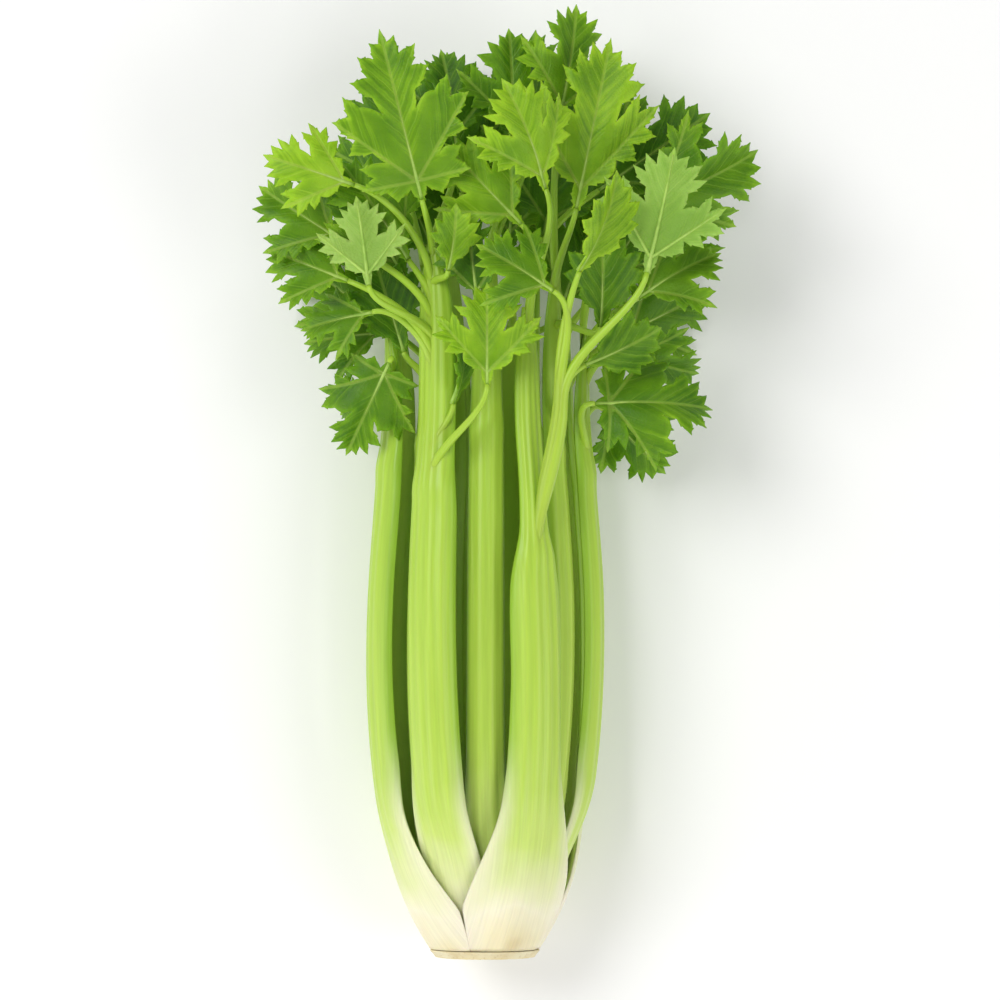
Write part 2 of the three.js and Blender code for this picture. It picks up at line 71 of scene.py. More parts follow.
def along(keys, at):  # a smooth curve through (position, value) keys
    last = len(keys) - 1
    if at <= keys[0][0]:
        return keys[0][1]
    if at >= keys[last][0]:
        return keys[last][1]
    i = 0
    while at > keys[i + 1][0]:
        i += 1

    def slope(k):
        before, after = keys[max(k - 1, 0)], keys[min(k + 1, last)]
        return (after[1] - before[1]) / (after[0] - before[0])

    (x0, y0), (x1, y1) = keys[i], keys[i + 1]
    step = x1 - x0
    t = (at - x0) / step
    rise = t * t * (3 - 2 * t)
    bend = step * t * (1 - t) * ((1 - t) * slope(i) - t * slope(i + 1))
    return y0 * (1 - rise) + y1 * rise + bend


def drawsFor(seed):  # repeatable draws from -1 to 1
    state = (seed * 7919 + 17) % 4294967296
    while True:
        state = (state * 1664525 + 1013904223) % 4294967296
        yield state / 2147483648 - 1


def paint(hexColour):  # sRGB hex to linear
    parts = [int(hexColour[i:i + 2], 16) / 255 for i in (1, 3, 5)]
    return [c / 12.92 if c <= 0.04045 else ((c + 0.055) / 1.055) ** 2.4 for c in parts] + [1]


def addNode(tree, kind, settings=None, inputs=None):
    node = tree.nodes.new("ShaderNode" + kind)
    for name, value in (settings or {}).items():
        setattr(node, name, value)
    for name, value in (inputs or {}).items():
        if isinstance(value, bpy.types.NodeSocket):
            tree.links.new(value, node.inputs[name])
        else:
            node.inputs[name].default_value = value
    return node


def compute(tree, operation, *values):
    return addNode(tree, "Math", {"operation": operation}, dict(enumerate(values))).outputs[0]


def startMaterial(name):
    material = bpy.data.materials.new(name)
    material.use_nodes = True
    material.node_tree.nodes.clear()
    return material, material.node_tree


def fillRamp(node, stops):
    ramp = node.color_ramp
    for place, _ in stops[2:]:
        ramp.elements.new(place)
    for element, (place, hexColour) in zip(ramp.elements, stops):
        element.position = place
        element.color = paint(hexColour)


# Celery skin: waxy and moist, a little light passes through it. Cream at the foot, green above, with cream
# edges at the foot, painted shade in darker green on the edges and in the grooves above it, and fine
# strings running along.
stalkSkinSettings = {
    "length": 330,  # mm over which the colour turns
    "colours": [
        (0.0, "#D0B983"), (0.016, "#E9DEB3"), (0.055, "#F1EDCD"), (0.09, "#E3E8AE"), (0.15, "#C9DE74"),
        (0.23, "#B8D554"), (0.5, "#AFD045"), (0.78, "#A5C93A"), (1.0, "#95BD30"),
    ],
    # edge is painted shade: the darker green laid on the edges above the foot, where the stalk turns away
    # and meets the next
    "edge": "#7DAE16",
    "sheathEdge": "#EFE9D2",
    # inside is partly painted light: the inner faces' colour, made a saturated green for the light that
    # passes through the stalks into the shaded gaps
    "inside": "#B3D256",
    "stringWidth": 0.9,  # mm, drawn coarser than the real 0.3 so that it shows
}


def makeStalkSkin():
    look = stalkSkinSettings
    material, tree = startMaterial("celery stalk skin")
    run, arc, share, groove, inside = [
        addNode(tree, "Attribute", {"attribute_name": name}).outputs["Fac"]
        for name in ("run", "arc", "share", "groove", "inside")
    ]
    height = compute(tree, "DIVIDE", run, look["length"])
    place = addNode(tree, "TexCoord").outputs["Object"]
    blotch = addNode(tree, "TexNoise", None, {"Vector": place, "Scale": 38, "Detail": 2})
    shifted = addNode(tree, "MapRange", None, {"Value": blotch.outputs[0], 3: -0.045, 4: 0.045})
    wavering = compute(tree, "ADD", height, shifted.outputs[0])
    turning = addNode(tree, "ValToRGB", None, {0: wavering})
    fillRamp(turning, look["colours"])
    # painted shade on the edges: darker green towards them above the foot, the real cream edge at the foot
    edgeShade = addNode(tree, "MapRange", {"interpolation_type": "SMOOTHSTEP"},
                       {"Value": share, 1: 0.45, 2: 1.0, 3: 0.0, 4: 0.62})
    # painted shade: the grooves between the ribs are darkened towards the edge green above the foot
    grooveShade = compute(tree, "MULTIPLY", groove, 0.16)
    aboveFoot = addNode(tree, "MapRange", {"interpolation_type": "SMOOTHSTEP"},
                        {"Value": run, 1: 50, 2: 100, 3: 0.0, 4: 1.0})
    grooveShadeAboveFoot = compute(tree, "MULTIPLY", grooveShade, aboveFoot.outputs[0])
    creamEdgeAndShadeAmount = compute(tree, "MAXIMUM", edgeShade.outputs[0], grooveShadeAboveFoot)
    creamEdgeOrShade = addNode(tree, "Mix", {"data_type": "RGBA"},
                       {0: aboveFoot.outputs[0], 6: paint(look["sheathEdge"]), 7: paint(look["edge"])})
    edgeShaded = addNode(tree, "Mix", {"data_type": "RGBA"},
                    {0: creamEdgeAndShadeAmount, 6: turning.outputs[0], 7: creamEdgeOrShade.outputs[2]})
    stretched = compute(tree, "MULTIPLY", run, 0.03)
    strings = addNode(tree, "CombineXYZ", None, {0: arc, 1: stretched})
    fibre = addNode(tree, "TexNoise", None,
                    {"Vector": strings.outputs[0], "Scale": 1 / look["stringWidth"], "Detail": 3})
    fibreTone = addNode(tree, "MapRange", None,
                        {"Value": fibre.outputs[0], 1: 0.3, 2: 0.7, 3: 0.94, 4: 1.05})
    stringy = addNode(tree, "Mix", {"data_type": "RGBA", "blend_type": "MULTIPLY"},
                      {0: 1.0, 6: edgeShaded.outputs[2], 7: fibreTone.outputs[0]})
    # painted light on the inner faces: the light passing through the stalks into the shaded gaps between
    # them
    innerFaceLightShare = compute(tree, "MULTIPLY", inside, 0.55)
    coloured = addNode(tree, "Mix", {"data_type": "RGBA"},
                       {0: innerFaceLightShare, 6: stringy.outputs[2], 7: paint(look["inside"])})
    relief = addNode(tree, "Bump", None,
                     {"Height": fibre.outputs[0], "Strength": 0.35, "Distance": 0.0004})
    shine = addNode(tree, "MapRange", None, {"Value": fibre.outputs[0], 3: 0.3, 4: 0.46})
    shader = addNode(tree, "BsdfPrincipled", None, {
        "Base Color": coloured.outputs[2],
        "Roughness": shine.outputs[0],
        "IOR": 1.45,
        "Subsurface Weight": 0.18,
        "Subsurface Radius": (0.6, 1.0, 0.3),
        "Subsurface Scale": 0.004,
        "Normal": relief.outputs[0],
    })
    addNode(tree, "OutputMaterial", None, {"Surface": shader.outputs[0]})
    return material


# A celery blade: thin and soft, satin above with paler ribs and sunken veins, paler and duller below.
leafSkinSettings = {
    "above": [(0.0, "#234802"), (0.35, "#477505"), (0.65, "#6A960E"), (1.0, "#9AC224")],
    "below": [(0.0, "#648F2C"), (0.5, "#84AB42"), (1.0, "#A6C763")],
    "rib": "#A9CC50",
    "veinSpacing": 6.4,  # mm between side veins, along the rib
    "veinSlope": 1.5,  # mm that a side vein runs forward for each mm outwards
    "veinWidth": 0.6,  # mm, drawn coarser than the real 0.2 so that it shows
    "cellSize": 1.6,  # mm of the net between the veins
}


def makeLeafSkin(name, below):
    look = leafSkinSettings
    material, tree = startMaterial(name)
    across, reach, sideOff, sideRun, clear, marginHighlight, toneLightAndShade = [
        addNode(tree, "Attribute", {"attribute_name": text}).outputs["Fac"]
        for text in ("across", "reach", "sideOff", "sideRun", "clear", "marginHighlight", "toneLightAndShade")
    ]
    fromMiddle = compute(tree, "ABSOLUTE", across)
    fromSide = compute(tree, "ABSOLUTE", sideOff)
    nearest = compute(tree, "MINIMUM", fromMiddle, fromSide)
    isMiddle = compute(tree, "LESS_THAN", fromMiddle, fromSide)
    onRib = addNode(tree, "Mix", None, {0: isMiddle, 2: sideRun, 3: reach})
    place = addNode(tree, "TexCoord").outputs["Object"]
    wander = addNode(tree, "TexNoise", None, {"Vector": place, "Scale": 130, "Detail": 1})
    wandering = addNode(tree, "MapRange", None, {"Value": wander.outputs[0], 3: -1.6, 4: 1.6})
    slanted = compute(tree, "MULTIPLY_ADD", nearest, -look["veinSlope"], onRib.outputs[0])
    bent = compute(tree, "ADD", slanted, wandering.outputs[0])
    folded = compute(tree, "PINGPONG", bent, look["veinSpacing"] / 2)
    sideVein = addNode(tree, "MapRange", {"interpolation_type": "SMOOTHSTEP"},
                       {"Value": folded, 1: 0.0, 2: look["veinWidth"], 3: 1.0, 4: 0.0})
    fading = addNode(tree, "MapRange", None, {"Value": nearest, 1: 0, 2: 14, 3: 0.55, 4: 0.15})
    cleared = compute(tree, "MULTIPLY", fading.outputs[0], clear)
    sideLine = compute(tree, "MULTIPLY", sideVein.outputs[0], cleared)
    streakPlace = addNode(tree, "CombineXYZ", None, {0: bent, 1: nearest, 2: toneLightAndShade})
    streakStretch = addNode(tree, "VectorMath", {"operation": "MULTIPLY"},
                            {0: streakPlace.outputs[0], 1: (0.55, 0.07, 9)})
    streak = addNode(tree, "TexNoise", None, {"Vector": streakStretch.outputs[0], "Scale": 1, "Detail": 3})
    streakTone = addNode(tree, "MapRange", None,
                         {"Value": streak.outputs[0], 1: 0.3, 2: 0.7, 3: -0.12, 4: 0.12})
    # painted light and shade of the pleats: lighter along each side vein, darker between the veins
    pleatShade = addNode(tree, "MapRange", None,
                    {"Value": folded, 1: 0, 2: look["veinSpacing"] / 2, 3: 0.05, 4: -0.04})
    streaksAndPleatShade = compute(tree, "ADD", streakTone.outputs[0], pleatShade.outputs[0])
    streaksAndPleatShadeCleared = compute(tree, "MULTIPLY", streaksAndPleatShade, clear)
    ribLine = addNode(tree, "MapRange", {"interpolation_type": "SMOOTHSTEP"},
                      {"Value": nearest, 1: 0.3, 2: 1.1, 3: 1.0, 4: 0.0})
    veins = compute(tree, "MAXIMUM", sideLine, ribLine.outputs[0])
    cells = addNode(tree, "TexVoronoi", {"feature": "DISTANCE_TO_EDGE"},
                    {"Vector": place, "Scale": 1000 / look["cellSize"]})
    blotch = addNode(tree, "TexNoise", None, {"Vector": place, "Scale": 55, "Detail": 3})
    shade = addNode(tree, "MapRange", None,
                    {"Value": blotch.outputs[0], 1: 0.25, 2: 0.75, 3: -0.16, 4: 0.16})
    lively = compute(tree, "ADD", shade.outputs[0], streaksAndPleatShadeCleared)
    # the per-leaf tone holds painted light and shade: darker for leaves deep in the bunch, brighter for
    # front ones
    toned = compute(tree, "ADD", toneLightAndShade, lively)
    # painted highlight: the margin of the blade is lightened
    withRimHighlight = compute(tree, "MULTIPLY_ADD", marginHighlight, 0.22, toned)
    base = addNode(tree, "ValToRGB", None, {0: withRimHighlight})
    fillRamp(base, look["below" if below else "above"])
    veinShare = compute(tree, "MULTIPLY", veins, 0.36)
    coloured = addNode(tree, "Mix", {"data_type": "RGBA"},
                       {0: veinShare, 6: base.outputs[0], 7: paint(look["rib"])})
    netHeight = compute(tree, "MINIMUM", cells.outputs[0], 0.35)
    carved = compute(tree, "MULTIPLY_ADD", veins, 0.8 if below else -0.8, netHeight)
    relief = addNode(tree, "Bump", None, {"Height": carved, "Strength": 0.5, "Distance": 0.0005})
    shine = addNode(tree, "MapRange", None,
                    {"Value": blotch.outputs[0], 3: 0.55 if below else 0.38, 4: 0.7 if below else 0.52})
    shader = addNode(tree, "BsdfPrincipled", None, {
        "Base Color": coloured.outputs[2],
        "Roughness": shine.outputs[0],
        "IOR": 1.42,
        "Specular IOR Level": 0.3,
        "Subsurface Weight": 0.35,
        "Subsurface Radius": (0.6, 1.0, 0.2),
        "Subsurface Scale": 0.0015,
        "Normal": relief.outputs[0],
    })
    addNode(tree, "OutputMaterial", None, {"Surface": shader.outputs[0]})
    return material


# A leaf rib: the pale juicy strand that the stem sends into the blade.
def makeRibSkin():
    material, tree = startMaterial("celery leaf rib")
    place = addNode(tree, "TexCoord").outputs["Object"]
    streak = addNode(tree, "TexNoise", None, {"Vector": place, "Scale": 260, "Detail": 2})
    tint = addNode(tree, "ValToRGB", None, {0: streak.outputs[0]})
    fillRamp(tint, [(0.3, "#8FB845"), (0.7, "#AFD062")])
    relief = addNode(tree, "Bump", None,
                     {"Height": streak.outputs[0], "Strength": 0.3, "Distance": 0.0003})
    shader = addNode(tree, "BsdfPrincipled", None, {
        "Base Color": tint.outputs[0],
        "Roughness": 0.42,
        "IOR": 1.45,
        "Subsurface Weight": 0.2,
        "Subsurface Radius": (0.6, 1.0, 0.3),
        "Subsurface Scale": 0.001,
        "Normal": relief.outputs[0],
    })
    addNode(tree, "OutputMaterial", None, {"Surface": shader.outputs[0]})
    return material


# The root end: cream flesh under a thin skin, its cut face dried tan, with the seams between the
# cut stalks and the ends of their strands.
def makeButtFlesh(name, cut):
    material, tree = startMaterial(name)
    seam = addNode(tree, "Attribute", {"attribute_name": "seam"}).outputs["Fac"]
    place = addNode(tree, "TexCoord").outputs["Object"]
    blotch = addNode(tree, "TexNoise", None, {"Vector": place, "Scale": 150, "Detail": 4})
    tint = addNode(tree, "ValToRGB", None, {0: blotch.outputs[0]})
    fillRamp(tint, [(0.3, "#D9C58F"), (0.7, "#EADFB6")] if cut else [(0.3, "#D8C79A"), (0.7, "#E9E0BC")])
    strands = addNode(tree, "TexVoronoi", None, {"Vector": place, "Scale": 650})  # 1.5 mm strand ends
    dots = addNode(tree, "MapRange", None, {"Value": strands.outputs[0], 1: 0.1, 2: 0.35, 3: 0.3, 4: 0.0})
    darker = compute(tree, "MAXIMUM", seam, dots.outputs[0])
    coloured = addNode(tree, "Mix", {"data_type": "RGBA"},
                       {0: darker, 6: tint.outputs[0], 7: paint("#A9854B")})
    relief = addNode(tree, "Bump", None, {"Height": blotch.outputs[0], "Strength": 0.5, "Distance": 0.0006})
    shader = addNode(tree, "BsdfPrincipled", None, {
        "Base Color": coloured.outputs[2],
        "Roughness": 0.62,
        "IOR": 1.45,
        "Subsurface Weight": 0.15,
        "Subsurface Radius": (1.0, 0.8, 0.5),
        "Subsurface Scale": 0.003,
        "Normal": relief.outputs[0],
    })
    addNode(tree, "OutputMaterial", None, {"Surface": shader.outputs[0]})
    return material


stalkSkin = makeStalkSkin()
leafAbove = makeLeafSkin("celery leaf upper side", False)
leafBelow = makeLeafSkin("celery leaf underside", True)
ribSkin = makeRibSkin()
buttSkin = makeButtFlesh("celery root end", False)
buttCut = makeButtFlesh("celery cut face", True)
print("materials made")


def floatLayers(bm, *names):
    return [bm.verts.layers.float.new(name) for name in names]


def finishPiece(bm, node, materials, part):
    bmesh.ops.transform(bm, matrix=intoFrame, verts=bm.verts)
    mesh = bpy.data.meshes.new(node + "_" + part)
    bm.to_mesh(mesh)
    bm.free()
    for polygon in mesh.polygons:
        polygon.use_smooth = True
    for material in materials:
        mesh.materials.append(material)
    piece = bpy.data.objects.new(mesh.name, mesh)
    bpy.context.scene.collection.objects.link(piece)
    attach(piece, "root")
    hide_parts(node)


def sweepTube(bm, points, radii, sides):  # a round tube along points, closed at both ends
    side = Vector((1, 0, 0))
    places = []
    for k, (point, radius) in enumerate(zip(points, radii)):
        forward = (points[min(k + 1, len(points) - 1)] - points[max(k - 1, 0)]).normalized()
        side = (side - forward * side.dot(forward)).normalized()
        up = forward.cross(side)
        turn = Matrix((side, up, forward)).transposed().to_4x4()
        places.append(Matrix.Translation(point) @ turn @ Matrix.Scale(radius, 4))
    ring = bmesh.ops.create_circle(bm, segments=sides, radius=1, matrix=places[0])["verts"]
    made = list(ring)
    edges = list({edge for vert in ring for edge in vert.link_edges})
    for before, after in zip(places, places[1:]):
        grown = bmesh.ops.extrude_edge_only(bm, edges=edges)["geom"]
        ring = [item for item in grown if isinstance(item, bmesh.types.BMVert)]
        edges = [item for item in grown if isinstance(item, bmesh.types.BMEdge)
                 and all(vert in ring for vert in item.verts)]
        bmesh.ops.transform(bm, matrix=after @ before.inverted(), verts=ring)
        made += ring
    return made


def closeAndTurnOut(bm):
    rims = [edge for edge in bm.edges if edge.is_boundary]
    bmesh.ops.holes_fill(bm, edges=rims, sides=0)
    bmesh.ops.recalc_face_normals(bm, faces=bm.faces)


# Turns are degrees round the middle line, 0 facing up and 90 facing +X. Room is the most that a sheath may
# reach to each side at the foot. Sunk is how far the outer face lies inside the envelope. Widths are at the
# foot, half way, above the first joint and at the top.
stalkSettings = {
    "front_left": {
        "turn": (-24, -29.5, -31), "room": 44, "sunk": (5.4, 0.5, 0.5), "widths": (30, 25.5, 19.5, 5),
        "from": 13, "joint": 198, "top": 298, "ribs": 6,
    },
    "front_right": {
        "turn": (31, 31, 25), "room": 46.6, "sunk": (0, 0, 1), "widths": (54, 26, 13, 5),
        "from": 3.6, "joint": 170, "top": 272, "ribs": 6,
    },
    "left": {
        "turn": (-65, -80, -78), "room": 48.6, "sunk": (0, 0, 2), "widths": (55, 28.5, 21, 5),
        "from": 3.6, "joint": 206, "top": 262, "ribs": 6,
    },
    "right": {
        "turn": (86, 83, 84), "room": 34, "sunk": (5.4, 0.5, 1), "widths": (25, 21, 17, 5),
        "from": 13, "joint": 204, "top": 262, "ribs": 5,
    },
    "back_right": {
        "turn": (119.5, 123, 122), "room": 41, "sunk": (0, 0, 3), "widths": (47, 24, 17, 5),
        "from": 3.6, "joint": 196, "top": 262, "ribs": 5,
    },
    "under_right": {
        "turn": (160, 164, 162), "room": 35, "sunk": (5.4, 0.2, 4), "widths": (26, 24, 18, 5),
        "from": 13, "joint": 208, "top": 268, "ribs": 5,
    },
    "under_left": {
        "turn": (-157, -157, -159), "room": 39.5, "sunk": (0, 0, 4), "widths": (47, 24.5, 18, 5),
        "from": 3.6, "joint": 190, "top": 270, "ribs": 5,
    },
    "back_left": {
        "turn": (-118, -119, -117), "room": 38, "sunk": (5.4, 0.5, 2), "widths": (24, 22, 17, 5),
        "from": 13, "joint": 212, "top": 268, "ribs": 5,
    },
    "inner_front": {
        "turn": (6, 1, 2), "room": 26, "sunk": (11, 14.5, 14), "widths": (26, 18, 15, 5),
        "from": 24, "joint": 222, "top": 282, "ribs": 4,
    },
    "inner_right": {
        "turn": (58, 57, 60), "room": 24, "sunk": (11, 8, 9), "widths": (24, 16, 13, 5),
        "from": 24, "joint": 214, "top": 288, "ribs": 3,
    },
    "inner_left": {
        "turn": (-62, -56, -60), "room": 30, "sunk": (11, 12.5, 14), "widths": (24, 17, 14, 5),
        "from": 24, "joint": 216, "top": 290, "ribs": 3,
    },
    "inner_back_right": {
        "turn": (122, 116, 112), "room": 30, "sunk": (11, 19, 20), "widths": (24, 16, 12, 5),
        "from": 24, "joint": 218, "top": 290, "ribs": 3,
    },
    "inner_back_left": {
        "turn": (-130, -140, -142), "room": 34, "sunk": (11, 20, 20), "widths": (24, 16, 12, 5),
        "from": 24, "joint": 214, "top": 292, "ribs": 3,
    },
    "heart": {
        "turn": (20, 20, 20), "room": 40, "sunk": (24, 38, 36), "widths": (12, 12, 10, 5),
        "from": 40, "joint": 230, "top": 300, "ribs": 3,
    },
}
skinSettings = {
    "ribHeight": 0.42,
    "sheathThickness": 4.2,
    "stalkThickness": 7,
    "topThickness": 3.4,
    "fullWidth": 22,  # a narrower stalk is thinner too
    "sheathEnd": 30,  # height at which the wide sheath starts to close
    "channelStart": 84,  # height from which it is a channel
    "kneeHeight": 66,  # where the sheath has turned into the stalk's own direction
    "halfHeight": 110,  # where it has its width of half way
    "channelAngle": 1,  # radians to each side
    "channelRadius": 0.56,  # share of the width
    "sheathSquareness": 26,  # of the edges: a sheath's meet the next one's
    "stalkSquareness": 7,
    "coreDepth": 2.6,  # of a stem's root below the outer face
    "overlap": 0.035,  # radians by which the feet of two sheaths pass their room, so that they meet
    "outerShare": 0.6,  # share of a section's points on its outer face
    "innerShare": 0.97,  # width of the inner face as a share of the outer one's
    "edgeShare": 0.5,  # share of the thickness lost towards the edges
    "jointSwell": 0.8,  # thicker at the first joint by this
    "waver": 0.45,  # slow unevenness of the outer face
    "around": 84,
    "rows": 96,
    "rowBias": 1.15,  # rows stand closer near the foot
}
stemSettings = {
    "radius": 2.1,
    "forkRadius": 3.6,  # of a stem that passes a fork
    "endRadius": 1.1,
    "gap": 0.35,  # between the stem and its blade
    "sides": 12,
    "points": 17,
}

# Each leaf hangs on one stalk. Its stem leaves the stalk at the height joint, passes the point via if there
# is one, and ends at foot. Tip is the end of the middle leaflet. Roll turns the blade about its rib, and
# width is its share of the outline's width. The tone runs from a dark leaf at 0 to a bright one at 1: it
# holds some real difference between leaves, and painted light and shade, darker for leaves deep in the
# bunch and brighter for the front ones, standing for their shade and their satin sheen.
leafSettings = [
    dict(on="front_left", joint=290, foot=(-26, 316, 99), tip=(-43, 384, 112), lobes="five", arch=0.07,
         width=0.66, toneLightAndShade=0.6),
    dict(on="front_left", joint=276, foot=(-54, 322, 94), tip=(-91, 334, 97), arch=0.12, width=0.85,
         toneLightAndShade=0.85),
    dict(on="front_left", joint=256, foot=(-48, 281, 91.5), tip=(-53, 317, 91), roll=174, width=0.9,
         toneLightAndShade=0.62),
    dict(on="front_left", joint=262, foot=(-60, 300, 82), tip=(-94, 322, 76), roll=-8, width=0.9, toneLightAndShade=0.5),
    dict(on="front_left", joint=248, foot=(-57, 283, 77), tip=(-90, 296, 70), toneLightAndShade=0.5),
    dict(on="front_left", joint=244, foot=(-47, 270, 72), tip=(-76, 262, 66), roll=24, width=0.9, toneLightAndShade=0.5),
    dict(on="left", joint=240, foot=(-40, 249, 67), tip=(-58, 211, 54), lobes="five", arch=0.1, width=0.74,
         toneLightAndShade=0.45),
    dict(on="inner_left", joint=284, foot=(-12, 340, 62), tip=(-18, 380, 58), roll=14, width=0.85,
         toneLightAndShade=0.3),
    dict(on="heart", joint=294, foot=(12, 342, 73), tip=(9, 387, 72), roll=20, width=0.9, toneLightAndShade=0.45),
    dict(on="inner_right", joint=284, foot=(31, 350, 81), tip=(38, 397, 77), roll=20, width=0.78, toneLightAndShade=0.6),
    dict(on="inner_right", joint=276, foot=(38, 313, 84), tip=(52, 382, 88), arch=0.08, width=0.68,
         toneLightAndShade=0.72),
    dict(on="front_right", joint=264, foot=(25, 320, 106), tip=(7, 364, 116), roll=20, width=0.85,
         toneLightAndShade=0.78),
    dict(on="front_right", joint=258, foot=(15, 306, 91.5), tip=(-16, 339, 91), roll=-7, width=0.9,
         toneLightAndShade=0.62),
    dict(on="front_right", joint=172, via=(31, 236, 92), foot=(28, 278, 106), tip=(-3, 297, 108), roll=16,
         toneLightAndShade=0.5),
    dict(on="front_left", joint=198, foot=(1, 240, 92), tip=(1, 281, 95), toneLightAndShade=0.72),
    dict(on="front_right", joint=172, via=(31, 240, 92), foot=(39, 286, 110), tip=(54, 326, 122),
         lobes="one", roll=48, toneLightAndShade=0.75),
    dict(on="front_right", joint=172, via=(32, 232, 92), foot=(67, 286, 102), tip=(78, 336, 110), roll=170,
         width=0.88, toneLightAndShade=0.5),
    dict(on="right", joint=256, foot=(65, 314, 70), tip=(114, 337, 62), roll=24, width=0.88, toneLightAndShade=0.5),
    dict(on="right", joint=246, foot=(64, 276, 74), tip=(98, 294, 64), roll=-22, width=0.9, toneLightAndShade=0.5),
    dict(on="right", joint=206, foot=(46, 232, 73), tip=(94, 229, 58), lobes="five", arch=0.1, roll=-20,
         width=0.85, toneLightAndShade=0.42),
    dict(on="inner_right", joint=216, foot=(42, 248, 84), tip=(72, 264, 79), lobes="one", roll=25,
         width=1.15, toneLightAndShade=0.4),
    dict(on="front_left", joint=280, foot=(-15, 287, 91), tip=(-12, 314, 97), lobes="one", roll=20,
         toneLightAndShade=0.6),
    dict(on="inner_left", joint=240, foot=(-34, 254, 58), tip=(-46, 292, 57), lobes="one", width=1.2,
         toneLightAndShade=0.35),
    dict(on="inner_front", joint=270, foot=(-3, 274, 82), tip=(-7, 312, 84), roll=-15, width=0.7, toneLightAndShade=0.3),
    dict(on="front_left", joint=210, foot=(-13, 232, 80), tip=(-12, 262, 82), lobes="one", roll=65,
         toneLightAndShade=0.5),
    dict(on="inner_right", joint=262, foot=(48, 264, 80), tip=(48, 304, 82), lobes="one", roll=25,
         width=1.2, toneLightAndShade=0.4),
    dict(on="under_left", joint=230, foot=(-45, 268, 13), tip=(-80, 296, 5), roll=-8, toneLightAndShade=0.45),
    dict(on="under_left", joint=262, foot=(-20, 292, 12), tip=(-46, 352, 5), roll=8, width=0.9, toneLightAndShade=0.4),
    dict(on="under_right", joint=262, foot=(10, 298, 21), tip=(10, 362, 17), roll=14, toneLightAndShade=0.4),
    dict(on="under_right", joint=254, foot=(31, 270, 15), tip=(54, 332, 8), roll=-8, width=0.9, toneLightAndShade=0.45),
    dict(on="back_right", joint=232, foot=(58, 262, 14), tip=(94, 280, 5), roll=8, toneLightAndShade=0.45),
    dict(on="back_left", joint=214, foot=(-46, 238, 32), tip=(-62, 228, 20), roll=18, toneLightAndShade=0.4),
    dict(on="back_left", joint=260, foot=(-34, 286, 27), tip=(-70, 338, 22), roll=12, toneLightAndShade=0.4),
    dict(on="inner_back_left", joint=286, foot=(-10, 322, 32), tip=(-16, 380, 26), width=0.85, toneLightAndShade=0.35),
    dict(on="inner_back_right", joint=270, foot=(24, 302, 36), tip=(40, 366, 32), toneLightAndShade=0.35),
    dict(on="back_right", joint=256, foot=(48, 280, 30), tip=(88, 336, 22), roll=-20, width=0.9, toneLightAndShade=0.4),
    dict(on="back_right", joint=200, foot=(50, 230, 30), tip=(76, 204, 18), roll=18, toneLightAndShade=0.4),
    dict(on="left", joint=256, foot=(-42, 262, 48), tip=(-76, 258, 40), roll=22, toneLightAndShade=0.4),
    dict(on="inner_left", joint=276, foot=(-32, 318, 48), tip=(-46, 368, 44), roll=-24, toneLightAndShade=0.35),
    dict(on="heart", joint=290, foot=(17, 334, 50), tip=(22, 388, 46), roll=-22, width=0.85, toneLightAndShade=0.35),
    dict(on="inner_back_right", joint=286, foot=(48, 322, 48), tip=(94, 354, 42), width=0.9, toneLightAndShade=0.35),
    dict(on="right", joint=236, foot=(58, 254, 50), tip=(90, 244, 40), roll=22, toneLightAndShade=0.4),
    dict(on="front_left", joint=270, foot=(-32, 292, 77), tip=(-60, 332, 85), roll=12, width=0.9,
         toneLightAndShade=0.45),
]


def stalkAt(stalk, height):
    start, joint, top = stalk["from"], stalk["joint"], stalk["top"]
    foot, half, above, end = stalk["widths"]
    knee = skinSettings["kneeHeight"]
    turn = along(list(zip((start, knee, top), stalk["turn"])), height)
    sunk = along(list(zip((knee - 24, knee + 10, top), stalk["sunk"])), height)
    width = along([
        (start, foot * 0.8),
        (skinSettings["sheathEnd"] - 8, foot),
        (knee, foot * 0.2 + half * 0.8),
        (skinSettings["halfHeight"], half),
        (joint - 14, half * 0.93),
        (joint + 12, above),
        (top - 24, above * 0.86),
        (top, end),
    ], height)
    return math.radians(turn), along(bunchSettings["envelope"], height) - sunk, width


def stalkSection(stalk, height):
    turn, face, width = stalkAt(stalk, height)
    closing = smoothStep(skinSettings["sheathEnd"], skinSettings["channelStart"], height)
    ending = smoothStep(stalk["top"] - 60, stalk["top"], height)
    full = skinSettings["stalkThickness"] * min(1, stalk["widths"][1] / skinSettings["fullWidth"])
    below = mix(skinSettings["sheathThickness"], full, closing)
    thickness = mix(below, skinSettings["topThickness"], ending)
    radius = mix(face - thickness / 2, max(width * skinSettings["channelRadius"], thickness), closing)
    room = math.radians(stalk["room"]) + skinSettings["overlap"]
    halfAngle = min(width / 2 / radius, mix(room, skinSettings["channelAngle"], closing))
    squareness = mix(skinSettings["sheathSquareness"], skinSettings["stalkSquareness"], closing)
    return {
        "turn": turn,
        "radius": radius,
        "centre": face - thickness / 2 - radius,
        "halfAngle": halfAngle,
        "thickness": thickness,
        "squareness": squareness,
        "ribs": skinSettings["ribHeight"] * smoothStep(10, 60, height) * (1 - 0.5 * ending),
    }


def sectionPoint(section, height, share, offset):
    angle = section["turn"] + share * section["halfAngle"]
    reach = section["radius"] + offset
    x = section["centre"] * math.sin(section["turn"]) + reach * math.sin(angle)
    z = section["centre"] * math.cos(section["turn"]) + reach * math.cos(angle)
    rise = bunchSettings["axisHeight"] + bunchSettings["depthShare"] * z
    return Vector((x, height, max(0, rise)))


def stalkCore(stalk, height):
    turn, face, _ = stalkAt(stalk, height)
    reach = face - skinSettings["coreDepth"]
    rise = bunchSettings["axisHeight"] + bunchSettings["depthShare"] * reach * math.cos(turn)
    return Vector((reach * math.sin(turn), height, rise))


